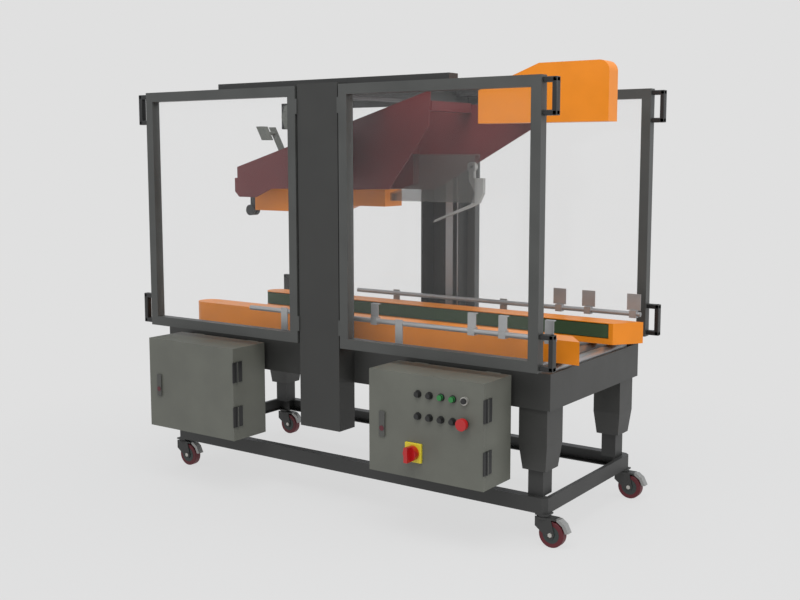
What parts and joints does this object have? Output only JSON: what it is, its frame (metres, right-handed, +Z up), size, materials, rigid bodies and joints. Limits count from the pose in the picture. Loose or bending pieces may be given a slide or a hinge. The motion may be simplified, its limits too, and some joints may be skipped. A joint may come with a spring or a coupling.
{
  "type": "carton sealer",
  "caption": "Case sealing machine on casters with roller bed, side belts, height-adjustable tape head and hinged clear guards.",
  "frame": {"origin": "on the floor, at the middle of the overall length and width", "axes": "+Z up, +X along the roller bed towards the infeed end, -Y towards the operator side with the cabinets"},
  "size_m": [2.107, 1.1654, 1.77],
  "materials": {
    "frame_black": "satin powder coat",
    "bed_grey": "satin powder coat",
    "column_grey": "satin powder coat",
    "guard_grey": "satin powder coat with black handles",
    "guard_clear": "clear polycarbonate sheet",
    "cabinet_grey": "fine textured powder coat",
    "roller_steel": "zinc plated",
    "rod_steel": "satin",
    "safety_yellow": "semi gloss powder coat",
    "head_red": "satin powder coat",
    "beam_red": "satin powder coat",
    "belt_green": "matte",
    "drive_dark": "satin",
    "shoe_clear": "smoke tinted, half clear",
    "arm_grey": "satin",
    "reel_grey": "matte",
    "black_plastic": "matte",
    "stop_red": "gloss",
    "wheel_red": "polyurethane tread"
  },
  "bodies": {
    "frame": {"base_side_rails": "frame_black", "base_end_rails": "frame_black", "base_corners": "frame_black", "inner_legs": "frame_black", "outer_legs": "bed_grey", "caster_plates": "frame_black", "bed_side_plates": "bed_grey", "bed_end_plates": "bed_grey", "bed_rollers": "roller_steel", "bed_cross_bars": "rod_steel", "front_column": "column_grey", "rear_column": "column_grey", "column_guide_bars": "rod_steel", "lift_screws": "rod_steel", "top_bridge": "column_grey", "top_bars": "frame_black", "left_cabinet": "cabinet_grey", "right_cabinet": "cabinet_grey", "front_side_rod": "rod_steel", "rear_side_rod": "rod_steel"},
    "head": {"front_head_plate": "head_red", "rear_head_plate": "head_red", "head_cross_beams": "beam_red", "front_carriage": "bed_grey", "rear_carriage": "bed_grey", "carriage_shoes": "drive_dark", "tape_cover": "safety_yellow", "press_roller": "black_plastic", "tape_reel_holder": "reel_grey", "flap_shoe": "shoe_clear", "infeed_cover": "safety_yellow"},
    "kicker": {"kicker_arm": "arm_grey"},
    "front_belt_unit": {"front_belt_cover": "safety_yellow", "front_belt": "belt_green", "front_belt_core": "drive_dark"},
    "rear_belt_unit": {"rear_belt_cover": "safety_yellow", "rear_belt": "belt_green", "rear_belt_core": "drive_dark"},
    "left_cabinet_door": {"left_cabinet_door": "cabinet_grey"},
    "right_cabinet_door": {"right_cabinet_door": "cabinet_grey", "control_buttons": "black_plastic"},
    "emergency_stop": {"emergency_stop": "stop_red"},
    "main_switch": {"main_switch_knob": "stop_red"},
    "front_left_guard": {"front_left_guard_frame": "guard_grey", "front_left_guard_pane": "guard_clear"},
    "front_right_guard": {"front_right_guard_frame": "guard_grey", "front_right_guard_pane": "guard_clear"},
    "rear_left_guard": {"rear_left_guard_frame": "guard_grey", "rear_left_guard_pane": "guard_clear"},
    "rear_right_guard": {"rear_right_guard_frame": "guard_grey", "rear_right_guard_pane": "guard_clear"},
    "left_front_caster_fork": {"left_front_caster_fork": "frame_black"},
    "left_front_caster_wheel": {"left_front_caster_wheel": "wheel_red"},
    "left_rear_caster_fork": {"left_rear_caster_fork": "frame_black"},
    "left_rear_caster_wheel": {"left_rear_caster_wheel": "wheel_red"},
    "right_front_caster_fork": {"right_front_caster_fork": "frame_black"},
    "right_front_caster_wheel": {"right_front_caster_wheel": "wheel_red"},
    "right_rear_caster_fork": {"right_rear_caster_fork": "frame_black"},
    "right_rear_caster_wheel": {"right_rear_caster_wheel": "wheel_red"}
  },
  "joints": [
    {"name": "head_lift", "type": "slide", "parent": "frame", "child": "head", "axis": [0, 0, 1], "range_m": [-0.38, 0]},
    {"name": "kicker_swing", "type": "hinge", "parent": "head", "child": "kicker", "pos_m": [0.3865, 0.08765, 1.38], "axis": [0, -1, 0], "range_deg": [-35, 30]},
    {"name": "front_belt_width", "type": "slide", "parent": "frame", "child": "front_belt_unit", "axis": [0, 1, 0], "range_m": [-0.07, 0.115]},
    {"name": "rear_belt_width", "type": "slide", "parent": "frame", "child": "rear_belt_unit", "axis": [0, 1, 0], "range_m": [-0.115, 0.07]},
    {"name": "left_cabinet_hinge", "type": "hinge", "parent": "frame", "child": "left_cabinet_door", "pos_m": [-0.3832, -0.50435, 0.442], "axis": [0, 0, 1], "range_deg": [0, 120]},
    {"name": "right_cabinet_hinge", "type": "hinge", "parent": "frame", "child": "right_cabinet_door", "pos_m": [0.8198, -0.50435, 0.442], "axis": [0, 0, 1], "range_deg": [0, 120]},
    {"name": "emergency_stop_press", "type": "slide", "parent": "right_cabinet_door", "child": "emergency_stop", "axis": [0, 1, 0], "range_m": [0, 0.005]},
    {"name": "main_switch_turn", "type": "hinge", "parent": "right_cabinet_door", "child": "main_switch", "pos_m": [0.5205, -0.53435, 0.346], "axis": [0, 1, 0], "range_deg": [0, 90]},
    {"name": "front_left_guard_hinge", "type": "hinge", "parent": "frame", "child": "front_left_guard", "pos_m": [-0.1325, -0.40735, 1.185], "axis": [0, 0, 1], "range_deg": [0, 90]},
    {"name": "front_right_guard_hinge", "type": "hinge", "parent": "frame", "child": "front_right_guard", "pos_m": [0.0785, -0.40735, 1.185], "axis": [0, 0, -1], "range_deg": [0, 90]},
    {"name": "rear_left_guard_hinge", "type": "hinge", "parent": "frame", "child": "rear_left_guard", "pos_m": [-0.1325, 0.58265, 1.185], "axis": [0, 0, -1], "range_deg": [0, 90]},
    {"name": "rear_right_guard_hinge", "type": "hinge", "parent": "frame", "child": "rear_right_guard", "pos_m": [0.0785, 0.58265, 1.185], "axis": [0, 0, 1], "range_deg": [0, 90]},
    {"name": "left_front_caster_swivel", "type": "hinge", "parent": "frame", "child": "left_front_caster_fork", "pos_m": [-0.9585, -0.26435, 0.111], "axis": [0, 0, 1], "continuous": true},
    {"name": "left_front_caster_roll", "type": "hinge", "parent": "left_front_caster_fork", "child": "left_front_caster_wheel", "pos_m": [-0.9225, -0.26435, 0.05], "axis": [0, 1, 0], "continuous": true},
    {"name": "left_rear_caster_swivel", "type": "hinge", "parent": "frame", "child": "left_rear_caster_fork", "pos_m": [-0.9585, 0.43965, 0.111], "axis": [0, 0, 1], "continuous": true},
    {"name": "left_rear_caster_roll", "type": "hinge", "parent": "left_rear_caster_fork", "child": "left_rear_caster_wheel", "pos_m": [-0.9225, 0.43965, 0.05], "axis": [0, 1, 0], "continuous": true},
    {"name": "right_front_caster_swivel", "type": "hinge", "parent": "frame", "child": "right_front_caster_fork", "pos_m": [0.9215, -0.26435, 0.111], "axis": [0, 0, 1], "continuous": true},
    {"name": "right_front_caster_roll", "type": "hinge", "parent": "right_front_caster_fork", "child": "right_front_caster_wheel", "pos_m": [0.9575, -0.26435, 0.05], "axis": [0, 1, 0], "continuous": true},
    {"name": "right_rear_caster_swivel", "type": "hinge", "parent": "frame", "child": "right_rear_caster_fork", "pos_m": [0.9215, 0.43965, 0.111], "axis": [0, 0, 1], "continuous": true},
    {"name": "right_rear_caster_roll", "type": "hinge", "parent": "right_rear_caster_fork", "child": "right_rear_caster_wheel", "pos_m": [0.9575, 0.43965, 0.05], "axis": [0, 1, 0], "continuous": true}
  ],
  "couplings": [
    {"joint": "rear_belt_width", "follows": "front_belt_width", "ratio": -1}
  ]
}
